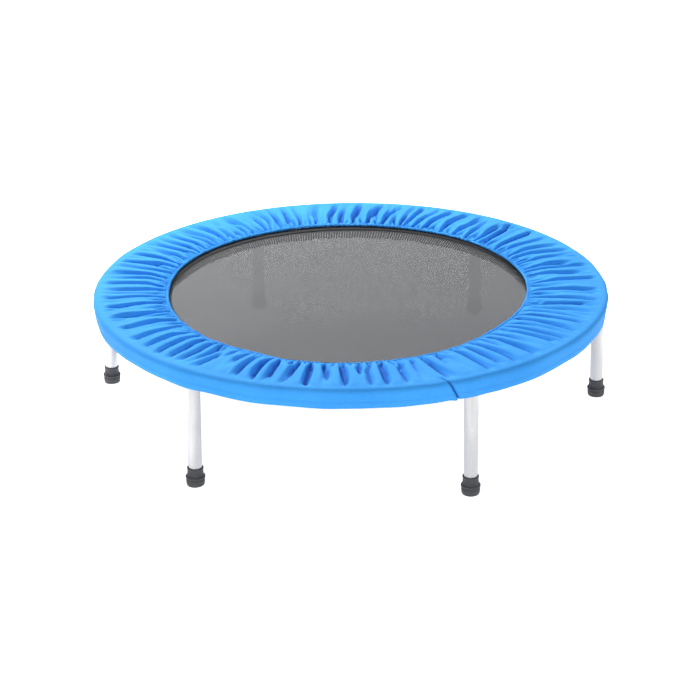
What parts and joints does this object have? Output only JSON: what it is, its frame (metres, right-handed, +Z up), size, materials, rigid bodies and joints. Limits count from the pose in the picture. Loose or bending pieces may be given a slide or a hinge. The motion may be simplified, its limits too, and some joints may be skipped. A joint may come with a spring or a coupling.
{
  "type": "mini trampoline",
  "caption": "Round indoor rebounder: steel ring on screw-in legs with rubber feet, woven mesh mat on springs, and a gathered elasticated fabric cover over the springs.",
  "frame": {"origin": "on the floor, under the centre of the mat", "axes": "+Z up along the ring's axis, +X towards leg 1; legs and springs are numbered counter-clockwise seen from above"},
  "size_m": [0.9692, 0.96, 0.2168],
  "materials": {
    "frame_paint": "satin silver paint",
    "leg_paint": "satin silver paint",
    "zinc_plate": "zinc plated",
    "spring_steel": "zinc plated wire",
    "foot_rubber": "moulded, matt",
    "mat_mesh": "see-through woven mesh",
    "band_webbing": "woven webbing",
    "cover_fabric": "plain-woven polyester",
    "elastic": "braided elastic cord"
  },
  "bodies": {
    "frame": {"frame_ring": "frame_paint", "spring_cover": "cover_fabric", "cover_inner_elastic": "elastic", "cover_outer_elastic": "elastic", "spring_01": "spring_steel", "spring_02": "spring_steel", "spring_03": "spring_steel", "spring_04": "spring_steel", "spring_05": "spring_steel", "spring_06": "spring_steel", "spring_07": "spring_steel", "spring_08": "spring_steel", "spring_09": "spring_steel", "spring_10": "spring_steel", "spring_11": "spring_steel", "spring_12": "spring_steel", "spring_13": "spring_steel", "spring_14": "spring_steel", "spring_15": "spring_steel", "spring_16": "spring_steel", "spring_17": "spring_steel", "spring_18": "spring_steel", "spring_19": "spring_steel", "spring_20": "spring_steel", "spring_21": "spring_steel", "spring_22": "spring_steel", "spring_23": "spring_steel", "spring_24": "spring_steel", "spring_25": "spring_steel", "spring_26": "spring_steel", "spring_27": "spring_steel", "spring_28": "spring_steel", "spring_29": "spring_steel", "spring_30": "spring_steel"},
    "mat": {"jump_mat": "mat_mesh", "mat_edge_band": "band_webbing"},
    "leg_1_collar": {"leg_washer_1": "zinc_plate"},
    "leg_1": {"leg_tube_1": "leg_paint", "leg_stud_1": "zinc_plate", "leg_foot_1": "foot_rubber"},
    "leg_2_collar": {"leg_washer_2": "zinc_plate"},
    "leg_2": {"leg_tube_2": "leg_paint", "leg_stud_2": "zinc_plate", "leg_foot_2": "foot_rubber"},
    "leg_3_collar": {"leg_washer_3": "zinc_plate"},
    "leg_3": {"leg_tube_3": "leg_paint", "leg_stud_3": "zinc_plate", "leg_foot_3": "foot_rubber"},
    "leg_4_collar": {"leg_washer_4": "zinc_plate"},
    "leg_4": {"leg_tube_4": "leg_paint", "leg_stud_4": "zinc_plate", "leg_foot_4": "foot_rubber"},
    "leg_5_collar": {"leg_washer_5": "zinc_plate"},
    "leg_5": {"leg_tube_5": "leg_paint", "leg_stud_5": "zinc_plate", "leg_foot_5": "foot_rubber"},
    "leg_6_collar": {"leg_washer_6": "zinc_plate"},
    "leg_6": {"leg_tube_6": "leg_paint", "leg_stud_6": "zinc_plate", "leg_foot_6": "foot_rubber"}
  },
  "joints": [
    {"name": "mat_bounce", "type": "slide", "parent": "frame", "child": "mat", "axis": [0, 0, -1], "range_m": [0, 0.045], "stiffness_N_per_m": 12000, "deforming": ["spring_01", "spring_02", "spring_03", "spring_04", "spring_05", "spring_06", "spring_07", "spring_08", "spring_09", "spring_10", "spring_11", "spring_12", "spring_13", "spring_14", "spring_15", "spring_16", "spring_17", "spring_18", "spring_19", "spring_20", "spring_21", "spring_22", "spring_23", "spring_24", "spring_25", "spring_26", "spring_27", "spring_28", "spring_29", "spring_30"]},
    {"name": "leg_1_lower", "type": "slide", "parent": "frame", "child": "leg_1_collar", "axis": [0.0262, 0, -0.9997], "range_m": [0, 0.0136]},
    {"name": "leg_1_turn", "type": "hinge", "parent": "leg_1_collar", "child": "leg_1", "pos_m": [0.463, 0, 0.2015], "axis": [0.0262, 0, -0.9997], "range_deg": [0, 3240]},
    {"name": "leg_2_lower", "type": "slide", "parent": "frame", "child": "leg_2_collar", "axis": [0.0131, 0.0227, -0.9997], "range_m": [0, 0.0136]},
    {"name": "leg_2_turn", "type": "hinge", "parent": "leg_2_collar", "child": "leg_2", "pos_m": [0.2315, 0.40097, 0.2015], "axis": [0.0131, 0.0227, -0.9997], "range_deg": [0, 3240]},
    {"name": "leg_3_lower", "type": "slide", "parent": "frame", "child": "leg_3_collar", "axis": [-0.0131, 0.0227, -0.9997], "range_m": [0, 0.0136]},
    {"name": "leg_3_turn", "type": "hinge", "parent": "leg_3_collar", "child": "leg_3", "pos_m": [-0.2315, 0.40097, 0.2015], "axis": [-0.0131, 0.0227, -0.9997], "range_deg": [0, 3240]},
    {"name": "leg_4_lower", "type": "slide", "parent": "frame", "child": "leg_4_collar", "axis": [-0.0262, 0, -0.9997], "range_m": [0, 0.0136]},
    {"name": "leg_4_turn", "type": "hinge", "parent": "leg_4_collar", "child": "leg_4", "pos_m": [-0.463, 0, 0.2015], "axis": [-0.0262, 0, -0.9997], "range_deg": [0, 3240]},
    {"name": "leg_5_lower", "type": "slide", "parent": "frame", "child": "leg_5_collar", "axis": [-0.0131, -0.0227, -0.9997], "range_m": [0, 0.0136]},
    {"name": "leg_5_turn", "type": "hinge", "parent": "leg_5_collar", "child": "leg_5", "pos_m": [-0.2315, -0.40097, 0.2015], "axis": [-0.0131, -0.0227, -0.9997], "range_deg": [0, 3240]},
    {"name": "leg_6_lower", "type": "slide", "parent": "frame", "child": "leg_6_collar", "axis": [0.0131, -0.0227, -0.9997], "range_m": [0, 0.0136]},
    {"name": "leg_6_turn", "type": "hinge", "parent": "leg_6_collar", "child": "leg_6", "pos_m": [0.2315, -0.40097, 0.2015], "axis": [0.0131, -0.0227, -0.9997], "range_deg": [0, 3240]}
  ],
  "couplings": [
    {"joint": "leg_1_lower", "follows": "leg_1_turn", "m_per_rad": 0.00023873},
    {"joint": "leg_2_lower", "follows": "leg_2_turn", "m_per_rad": 0.00023873},
    {"joint": "leg_3_lower", "follows": "leg_3_turn", "m_per_rad": 0.00023873},
    {"joint": "leg_4_lower", "follows": "leg_4_turn", "m_per_rad": 0.00023873},
    {"joint": "leg_5_lower", "follows": "leg_5_turn", "m_per_rad": 0.00023873},
    {"joint": "leg_6_lower", "follows": "leg_6_turn", "m_per_rad": 0.00023873}
  ]
}
